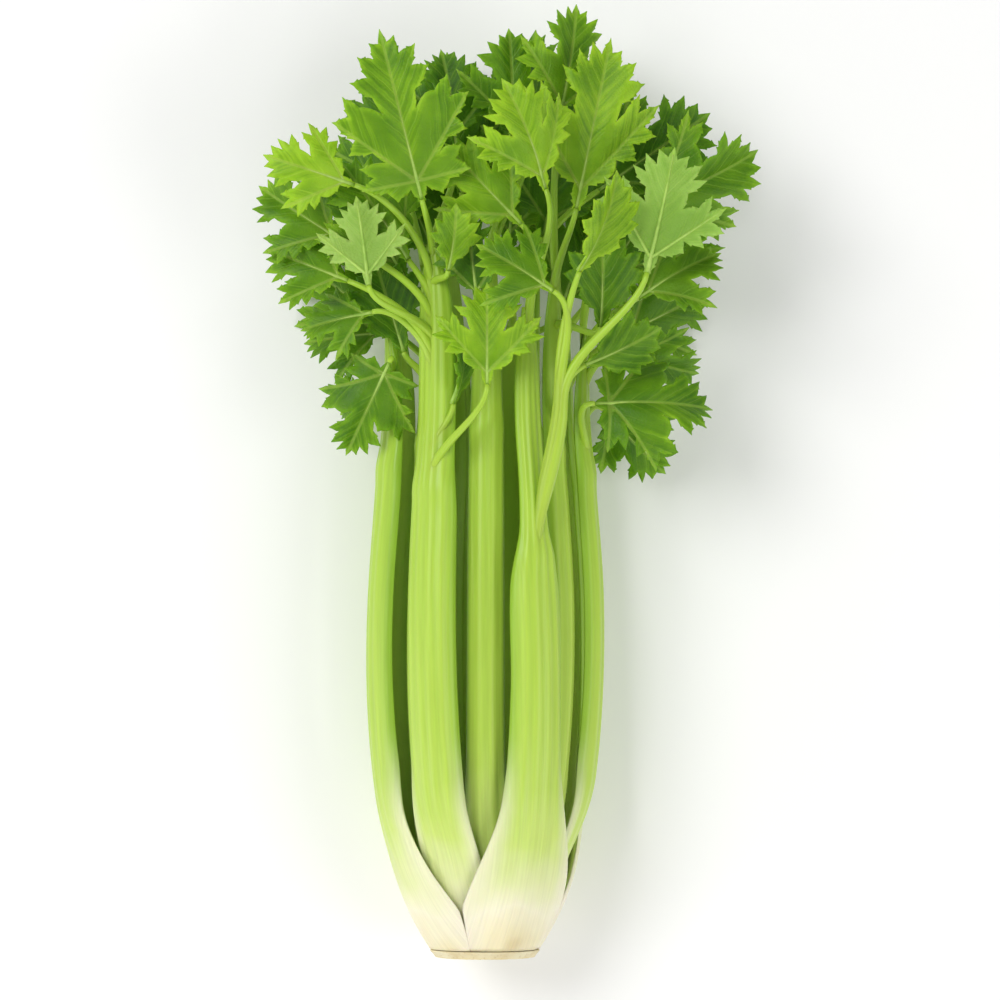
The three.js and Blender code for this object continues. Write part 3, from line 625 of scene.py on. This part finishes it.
def leafAxes(leaf):
    foot = Vector(leaf["foot"])
    forward = (Vector(leaf["tip"]) - foot).normalized()
    face = (Vector((0, 0, 1)) - forward * forward.z).normalized()
    face = Matrix.Rotation(math.radians(leaf.get("roll", 0)), 3, forward) @ face
    return foot, forward, face, forward.cross(face)


def stemPath(leaf):
    foot, forward, _, _ = leafAxes(leaf)
    before = stalkCore(stalkSettings[leaf["on"]], leaf["joint"])
    points = []
    upward = Vector((0, 1, 0))
    if "via" in leaf:
        via = Vector(leaf["via"])
        handle = upward * ((via - before).length / 3)
        points = interpolate_bezier(before, before + handle, via - handle, via, 11)[:-1]
        before = via
    end = foot - forward * stemSettings["gap"]
    reach = (end - before).length
    leaving = before + upward * reach * 0.35
    arriving = end - forward * reach * 0.3
    return points + interpolate_bezier(before, leaving, arriving, end, stemSettings["points"])


def buildStalk(name, stalk):
    bm = bmesh.new()
    run, arc, share, groove, inside = floatLayers(bm, "run", "arc", "share", "groove", "inside")
    bmesh.ops.create_grid(bm, x_segments=skinSettings["around"], y_segments=skinSettings["rows"], size=1)
    sections = {}
    phase = stalk["top"] * 1.7 + stalk["from"]
    outerShare = skinSettings["outerShare"]
    for vert in bm.verts:
        around, up = (vert.co.x + 1) / 2, (vert.co.y + 1) / 2
        height = mix(stalk["from"], stalk["top"], up ** skinSettings["rowBias"])
        if height not in sections:
            sections[height] = stalkSection(stalk, height)
        section = sections[height]
        outer = around <= outerShare
        turned = around / outerShare if outer else (1 - around) / (1 - outerShare)
        at = mix(2 * turned - 1, -math.cos(math.pi * turned), 0.45)
        rounding = math.sqrt(max(0, 1 - abs(at) ** section["squareness"]))
        offset = section["thickness"] / 2 * (1 - skinSettings["edgeShare"] * at * at) * rounding
        dip = math.cos(math.pi * (at + 1) * stalk["ribs"] / 2) ** 2
        if outer:
            swell = skinSettings["jointSwell"] * math.exp(-((height - stalk["joint"]) / 6) ** 2)
            waver = skinSettings["waver"] * noise.noise(Vector((at * 2.2, height * 0.016, phase)))
            offset += rounding * (swell + waver - section["ribs"] * dip)
        else:
            offset = -offset
        vert[run] = height
        vert[arc] = at * section["halfAngle"] * section["radius"] + (0 if outer else 40)
        vert[share] = abs(at)
        # groove carries the painted shade of the grooves between the ribs
        vert[groove] = dip * (section["ribs"] / skinSettings["ribHeight"]) if outer else 0
        vert[inside] = 0 if outer else 1
        reach = at if outer else at * skinSettings["innerShare"]
        vert.co = sectionPoint(section, height, reach, offset)
    bmesh.ops.remove_doubles(bm, verts=bm.verts, dist=0.0005)
    for leaf in leafSettings:
        if leaf["on"] == name:
            addStem(bm, leaf, (run, arc, share))
    closeAndTurnOut(bm)
    finishPiece(bm, "stalk_" + name, [stalkSkin], "skin")


def addStem(bm, leaf, layers):
    points = stemPath(leaf)
    start = stemSettings["forkRadius" if "via" in leaf else "radius"]
    last = len(points) - 1
    radii = []
    for k in range(last + 1):  # it starts thin inside the stalk, so that it grows out of its skin
        radius = mix(start, stemSettings["endRadius"], (k / last) ** 0.8)
        radii.append(radius * mix(0.5, 1, smoothStep(0, 0.2, k / last)))
    sides = stemSettings["sides"]
    run, arc, share = layers
    for k, vert in enumerate(sweepTube(bm, points, radii, sides)):
        vert[run] = vert.co.y
        vert[arc] = 80 + (k % sides)
        vert[share] = 0.35


for name, stalk in stalkSettings.items():
    buildStalk(name, stalk)
print("stalks built")

# Outlines of the right half of a blade from its foot to its tip: (across, along) as shares of its length.
# Each side lobe has its tip at a point of the outline, given by its place in the list, and its rib runs
# there from the fork. The blade folds along a line from the fork through the point beside it.
bladeSettings = {
    "fork": 0.11,
    "thickness": 0.5,
    "arch": (0.06, 0.04),  # these are a middle value and how far a draw moves it
    "fold": (0.3, 0.15),
    "droop": (0.35, 0.2),
    "wave": (2, 1),
    "phase": (0, 3),
    "spread": (5, 5),  # degrees by which the side lobes open
    "shake": 0.012,  # of each corner of the edge, as a share of the length
    "ripple": 0.012,  # share of the length
    "clearance": 0.425,  # of the middle surface above the floor
    "lowest": 0.05,  # of any point above the floor
    "grid": 1.5,
    "ridge": 6,  # over which the fold between two ribs is rounded
    "groove": 0.3,  # depth along a rib
    "grooveReach": 1.9,
    "quilt": 0.6,  # height of the swelling between two side veins
    "rimWidth": 2.6,  # of the thinner margin, which is also painted paler as a highlight
    "middleRib": 1.1,  # radius at its foot
    "sideRib": 0.75,
    "ribEnd": 0.25,
    "ribSink": (0.4, 0.15),  # of its middle line below the surface, at its foot and its end
    "ribReach": 0.95,  # share of the way to the tip
    "three": {
        "edge": [
            (0.02, 0), (0.06, 0.14), (0.24, 0.24), (0.24, 0.31), (0.42, 0.34), (0.36, 0.42), (0.54, 0.5),
            (0.43, 0.54), (0.5, 0.68), (0.37, 0.61), (0.35, 0.72), (0.25, 0.6), (0.17, 0.53), (0.2, 0.66),
            (0.33, 0.79), (0.21, 0.78), (0.24, 0.9), (0.13, 0.85), (0.12, 0.95), (0.05, 0.92),
        ],
        "sideRibs": [(8, (0.34, 0.49))],
    },
    "five": {
        "edge": [
            (0.02, 0), (0.07, 0.07), (0.22, 0.03), (0.28, 0.09), (0.46, 0.13), (0.35, 0.2), (0.44, 0.27),
            (0.3, 0.27), (0.22, 0.26), (0.32, 0.34), (0.5, 0.37), (0.43, 0.44), (0.58, 0.57),
            (0.42, 0.57), (0.42, 0.69), (0.31, 0.61), (0.25, 0.6), (0.15, 0.53), (0.19, 0.64),
            (0.33, 0.76), (0.2, 0.77), (0.24, 0.89), (0.11, 0.86), (0.11, 0.95), (0.04, 0.93),
        ],
        "sideRibs": [(4, (0.31, 0.14)), (12, (0.38, 0.44))],
    },
    "one": {
        "edge": [
            (0.02, 0), (0.08, 0.18), (0.24, 0.32), (0.22, 0.4), (0.38, 0.55), (0.28, 0.6), (0.32, 0.76),
            (0.18, 0.74), (0.19, 0.89), (0.09, 0.88),
        ],
        "sideRibs": [],
    },
}


def narrowed(shape, width):  # the outline at a share of its usual width
    return {
        "edge": [(u * width, v) for u, v in shape["edge"]],
        "sideRibs": [(end, (u * width, v)) for end, (u, v) in shape["sideRibs"]],
    }


def drawn(name, draws):
    middle, most = bladeSettings[name]
    return middle + most * next(draws)


def bladePlan(shape, length, draws):  # corners of the edge, counter-clockwise, and the side ribs' lines
    spread = {side: math.radians(drawn("spread", draws)) for side in (1, -1)}
    lobeEnd = shape["sideRibs"][-1][0] + 3 if shape["sideRibs"] else 0
    centre = Vector((0, bladeSettings["fork"]))

    def placed(side, point, lobed):
        at = Vector((point[0] * side, point[1])) - centre
        if lobed:
            at.rotate(Matrix.Rotation(-side * spread[side], 2))
        return (at + centre) * length

    halves = {}
    for side in (1, -1):
        halves[side] = []
        for i, (u, v) in enumerate(shape["edge"]):
            shake = bladeSettings["shake"] if i > 1 else 0
            moved = (u + shake * next(draws), v + shake * next(draws))
            halves[side].append(placed(side, moved, 1 < i <= lobeEnd))
    ribs = []
    for side in (1, -1):
        for k, (end, _) in enumerate(shape["sideRibs"]):
            outside = side * (-1) ** k  # so that the sign of an offset changes at a rib and nowhere else
            ribs.append((centre * length, halves[side][end], outside))
    return halves[1] + [Vector((0, length))] + halves[-1][::-1], ribs


toothSettings = {
    "bulge": 0.09,  # of its length, by which a flank bows outwards
    "tipTurn": 1.1,  # radians of turn from which a corner is the tip of a tooth
    "drawnOut": 0.018,  # of the blade's length, by which a tip is drawn out
    "blunt": 0.2,  # mm from the tip to each corner beside it
    "flanks": [  # least length, then points on the flank: share of its length, share of its bow
        (9, [(0.1, 0.4), (0.18, 0.9), (0.29, 1.7), (0.32, 0.8), (0.45, 1.2), (0.57, 1.9), (0.6, 1.0),
             (0.74, 0.9), (0.88, 0.5)]),
        (5.5, [(0.12, 0.35), (0.26, 0.9), (0.42, 1.9), (0.46, 0.7), (0.6, 1.0), (0.8, 0.65)]),
        (2, [(0.35, 0.75), (0.7, 0.6)]),
    ],
}


def refineOutline(corners):  # pointed teeth with rounded flanks, and small teeth on each long flank
    count = len(corners)
    turns = []
    for i, corner in enumerate(corners):
        before, after = corner - corners[i - 1], corners[(i + 1) % count] - corner
        turns.append(math.atan2(before.x * after.y - before.y * after.x, before.dot(after)))
    fine = []
    for i, corner in enumerate(corners):
        run = corners[(i + 1) % count] - corner
        outward = Vector((run.y, -run.x))
        opening = min(math.pi + turns[i], math.pi + turns[(i + 1) % count])
        bulge = toothSettings["bulge"] * min(max((opening - 0.25) / 1.1, 0), 1)  # less in a narrow notch
        if turns[i] > toothSettings["tipTurn"]:
            back = (corners[i - 1] - corner).normalized()
            ahead = run.normalized()
            drawnOut = toothSettings["drawnOut"] * corners[count // 2].length
            tip = corner - (back + ahead).normalized() * drawnOut
            fine.append(tip + back * toothSettings["blunt"])
            fine.append(tip + ahead * toothSettings["blunt"])
        else:
            fine.append(corner)
        flank = next((points for least, points in toothSettings["flanks"] if run.length > least), [])
        if i > count // 2:  # on the way back down the teeth lean the other way
            flank = [(1 - share, bow) for share, bow in reversed(flank)]
        fine += [corner + run * share + outward * bulge * bow for share, bow in flank]
    return fine


# The signed offset from the nearest side rib, the run along it, and by how much the nearest rib leads.
def ribCoordinates(u, v, ribs):
    found = [(99.0, 99.0, 0.0)]  # far off, for a blade with no side rib
    for start, end, outside in ribs:
        run = (end - start).normalized()
        offset = Vector((u, v)) - start
        ahead = offset.dot(run)
        beside = (offset.x * run.y - offset.y * run.x) * outside
        if ahead < 0:  # behind the fork
            beside = offset.length
        found.append((abs(beside), beside, ahead))
    found.sort()
    offsets = sorted([abs(u)] + [distance for distance, _, _ in found])
    return found[0][1], found[0][2], offsets[1] - offsets[0]


def buildLeaf(number, leaf):
    draws = drawsFor(number)
    foot, forward, face, across = leafAxes(leaf)
    length = (Vector(leaf["tip"]) - foot).length
    shape = narrowed(bladeSettings[leaf.get("lobes", "three")], leaf.get("width", 1))
    corners, ribs = bladePlan(shape, length, draws)
    arch = leaf["arch"] if "arch" in leaf else drawn("arch", draws)
    fold, droop, wave, phase = [drawn(name, draws) for name in ("fold", "droop", "wave", "phase")]
    valleys = []
    for _, (u, v) in shape["sideRibs"]:
        valleys.append(Vector((u, v - bladeSettings["fork"])).normalized())
    forkHeight = bladeSettings["fork"] * length
    ripple = bladeSettings["ripple"] * length
    rounding = bladeSettings["ridge"]

    def surface(u, v):
        share, reach = v / length, math.hypot(u, v) / length
        valley = abs(u)
        for run in valleys:
            other = abs(abs(u) * run.y - (v - forkHeight) * run.x)
            overlap = max(rounding - abs(valley - other), 0)
            valley = min(valley, other) - overlap ** 2 / (4 * rounding)
        turned = math.atan2(u, v + 0.2 * length)
        rise = arch * length * 4 * share * (1 - share) + fold * valley - droop * u * u / length
        rise += wave * reach * math.sin(5 * turned + phase)
        rise += ripple * reach ** 3 * math.sin(17 * turned + 2 * phase)
        beside, ahead, lead = ribCoordinates(u, v, ribs)
        middle = abs(u) < abs(beside)
        near = min(abs(u), abs(beside))
        rise -= bladeSettings["groove"] * math.exp(-(near / bladeSettings["grooveReach"]) ** 2)
        slant = (v if middle else ahead) - leafSkinSettings["veinSlope"] * near
        quilt = math.sin(math.pi * slant / leafSkinSettings["veinSpacing"]) ** 2
        rise += bladeSettings["quilt"] * quilt * smoothStep(1, 5, near) * smoothStep(1.5, 5.5, lead)
        at = foot + across * u + forward * v + face * rise
        at.z = max(at.z, bladeSettings["clearance"])
        return at

    def normal(u, v):
        du = surface(u + 0.5, v) - surface(u - 0.5, v)
        dv = surface(u, v + 0.5) - surface(u, v - 0.5)
        return du.cross(dv).normalized()

    outline = refineOutline(corners)
    tree = kdtree.KDTree(2 * len(outline))
    for i, point in enumerate(outline):
        tree.insert(point.to_3d(), 2 * i)
        tree.insert((point + outline[i - 1]).to_3d() / 2, 2 * i + 1)
    tree.balance()

    bm = bmesh.new()
    acrossLayer, reachLayer, sideOff, sideRun, clear, marginHighlight, toneLightAndShade = floatLayers(
        bm, "across", "reach", "sideOff", "sideRun", "clear", "marginHighlight", "toneLightAndShade")
    bm.faces.new([bm.verts.new(point.to_3d()) for point in outline])
    grid = bladeSettings["grid"]
    cuts = [((k * grid, 0, 0), (1, 0, 0)) for k in range(-50, 51)]
    cuts += [((0, k * grid, 0), (0, 1, 0)) for k in range(-8, 60)]
    low = Vector((min(p.x for p in outline), min(p.y for p in outline), 0))
    high = Vector((max(p.x for p in outline), max(p.y for p in outline), 0))
    for place, facing in cuts:
        if all(low[i] < place[i] < high[i] for i in (0, 1) if facing[i]):
            geometry = bm.verts[:] + bm.edges[:] + bm.faces[:]
            bmesh.ops.bisect_plane(bm, geom=geometry, dist=0.01, plane_co=place, plane_no=facing)
    bmesh.ops.recalc_face_normals(bm, faces=bm.faces)
    if bm.faces[0].normal.z < 0:
        bmesh.ops.reverse_faces(bm, faces=bm.faces)
    bmesh.ops.solidify(bm, geom=bm.faces[:], thickness=bladeSettings["thickness"])
    bm.normal_update()
    for polygon in bm.faces:
        polygon.material_index = 1 if polygon.normal.z < -0.5 else 0
    for vert in bm.verts:
        u, v, lift = vert.co.x, vert.co.y, vert.co.z + bladeSettings["thickness"] / 2
        _, _, edgeDistance = tree.find((u, v, 0))
        # the margin mask thins the blade and carries a painted highlight along its edge
        vert[marginHighlight] = 1 - smoothStep(0, bladeSettings["rimWidth"], edgeDistance)
        vert[acrossLayer] = u
        vert[reachLayer] = v
        vert[sideOff], vert[sideRun], lead = ribCoordinates(u, v, ribs)
        vert[clear] = smoothStep(2.6, 6, lead)
        # painted light and shade: each leaf's brightness, darker deep in the bunch and brighter in front
        vert[toneLightAndShade] = leaf["toneLightAndShade"]
        vert.co = surface(u, v) + normal(u, v) * lift * (1 - 0.4 * vert[marginHighlight])
        vert.co.z = max(vert.co.z, bladeSettings["lowest"])

    def addRib(start, end, startRadius, steps):
        points = []
        for k in range(steps + 1):
            u, v = start.lerp(end, bladeSettings["ribReach"] * k / steps)
            sink = mix(*bladeSettings["ribSink"], k / steps)
            points.append(surface(u, v) - normal(u, v) * sink)
        radii = [mix(startRadius, bladeSettings["ribEnd"], (k / steps) ** 0.8) for k in range(steps + 1)]
        for vert in sweepTube(bm, points, radii, 8):
            for polygon in vert.link_faces:
                polygon.material_index = 2

    addRib(Vector((0, -0.3)), Vector((0, length)), bladeSettings["middleRib"], 18)
    for start, end, _ in ribs:
        addRib(start, end, bladeSettings["sideRib"], 12)
    closeAndTurnOut(bm)
    node = f"leaf_{number:02d}"
    finishPiece(bm, node, [leafAbove, leafBelow, ribSkin], "blade")


for number, leaf in enumerate(leafSettings, 1):
    buildLeaf(number, leaf)
print("leaves built")

buttSettings = {
    "profile": [  # height above the cut face, radius
        (0.1, 0), (0, 20.2), (0.25, 20.9), (1.2, 21.6), (2.6, 22.9), (3.2, 22.9), (3.3, 18.7),
        (23.6, 16.8), (32, 11), (36, 4), (36.4, 0),
    ],
    "sides": 180,
    "step": 0.5,  # mm between rings of points
    "rough": 0.4 / 22,  # share of the radius by which the skin wavers
    "bow": 1.2,  # mm by which a seam leaves its circle
    "crescents": [  # seams between the cut stalks: radius, how many stalks, turn
        (17.6, 4, 0.5), (13.4, 3, 1.3), (9.2, 3, 0.2), (5.4, 2, 1.0), (2.6, 2, 2.4),
    ],
}


def buildButt():
    bm = bmesh.new()
    seam, = floatLayers(bm, "seam")
    chain = []
    for (h0, r0), (h1, r1) in zip(buttSettings["profile"], buttSettings["profile"][1:]):
        steps = max(1, round(math.hypot(h1 - h0, r1 - r0) / buttSettings["step"]))
        chain += [(mix(h0, h1, k / steps), mix(r0, r1, k / steps)) for k in range(steps)]
    chain.append(buttSettings["profile"][-1])
    line = [bm.verts.new((radius, height, 0)) for height, radius in chain]
    edges = [bm.edges.new(pair) for pair in zip(line, line[1:])]
    bmesh.ops.spin(bm, geom=line + edges, cent=(0, 0, 0), axis=(0, 1, 0), angle=2 * math.pi,
                   steps=buttSettings["sides"], use_merge=True)
    bmesh.ops.remove_doubles(bm, verts=bm.verts, dist=0.001)
    for vert in bm.verts:
        radius = math.hypot(vert.co.x, vert.co.z)
        angle = math.atan2(vert.co.x, vert.co.z)
        onCut = vert.co.y < 1
        if onCut:
            uneven = 0.5 * noise.noise(vert.co / 4)
            for middle, count, turn in buttSettings["crescents"]:
                bow = buttSettings["bow"] * (2 * abs(math.sin(count * (angle + turn) / 2)) - 1)
                off = abs(radius - middle - bow - uneven)
                vert[seam] = max(vert[seam], 0.7 * (1 - smoothStep(0.1, 0.65, off)))
        if radius > 1:
            swell = 1 + buttSettings["rough"] * noise.noise(vert.co * 0.35)
            vert.co.x *= swell
            vert.co.z *= swell
        if onCut:
            vert.co.y = max(0, vert.co.y + 0.25 * noise.noise(vert.co * 0.5))
        vert.co.z = bunchSettings["axisHeight"] + bunchSettings["depthShare"] * vert.co.z
    closeAndTurnOut(bm)
    for polygon in bm.faces:
        polygon.material_index = 1 if polygon.calc_center_median().y < 0.6 else 0
    finishPiece(bm, "butt", [buttSkin, buttCut], "flesh")


buildButt()
print("root end built")


def makeFloor():
    material, tree = startMaterial("pale studio floor")
    shader = addNode(tree, "BsdfPrincipled", None, {"Base Color": paint("#FCFCFB"), "Roughness": 0.9})
    addNode(tree, "OutputMaterial", None, {"Surface": shader.outputs[0]})
    bm = bmesh.new()
    bmesh.ops.create_grid(bm, x_segments=1, y_segments=1, size=3)
    mesh = bpy.data.meshes.new("floor")
    bm.to_mesh(mesh)
    bm.free()
    mesh.materials.append(material)
    floor = bpy.data.objects.new("floor", mesh)
    floor.location.z = -0.0002  # just under what lies on it
    bpy.context.scene.collection.objects.link(floor)


studioSettings = {
    "lamps": [  # name, place in m, diameter in m, W
        ("key", (-1.1, 0.7, 1.9), 1.3, 26),
        ("fill", (1.4, -0.4, 1.5), 1.4, 13),
        ("left side", (-1.7, -0.5, 0.6), 0.9, 7),
        ("foot", (0.2, -1.7, 0.9), 0.9, 8),
    ],
    "room": 0.38,  # strength of the light from all around
    "distance": 3.0,  # of the camera above the floor, in m
    "seen": 0.426,  # m of the floor across the picture
    "centre": (6.3, 191.9),  # of the picture, in mm from the middle of the cut face
}


def addLamp(name, place, size, power):
    light = bpy.data.lights.new(name, "AREA")
    light.shape = "DISK"
    light.size = size
    light.energy = power
    lamp = bpy.data.objects.new(name, light)
    lamp.location = place
    lamp.rotation_euler = (-Vector(place)).to_track_quat("-Z", "Y").to_euler()
    bpy.context.scene.collection.objects.link(lamp)


def addCamera():
    camera = bpy.data.cameras.new("camera")
    distance = studioSettings["distance"]
    centreX, centreY = studioSettings["centre"]
    camera.sensor_width = 36
    camera.lens = camera.sensor_width * distance / studioSettings["seen"]
    viewer = bpy.data.objects.new("camera", camera)
    viewer.location = ((centreX + originX) / 1000, (centreY + originY) / 1000, distance)
    bpy.context.scene.collection.objects.link(viewer)
    bpy.context.scene.camera = viewer


makeFloor()
for name, place, size, power in studioSettings["lamps"]:
    addLamp(name, place, size, power)
world = bpy.data.worlds.new("bright room")
bpy.context.scene.world = world
world.use_nodes = True
background = world.node_tree.nodes["Background"]
background.inputs["Color"].default_value = (1, 1, 1, 1)
background.inputs["Strength"].default_value = studioSettings["room"]
bpy.context.scene.view_settings.view_transform = "Standard"
addCamera()
print("studio set")
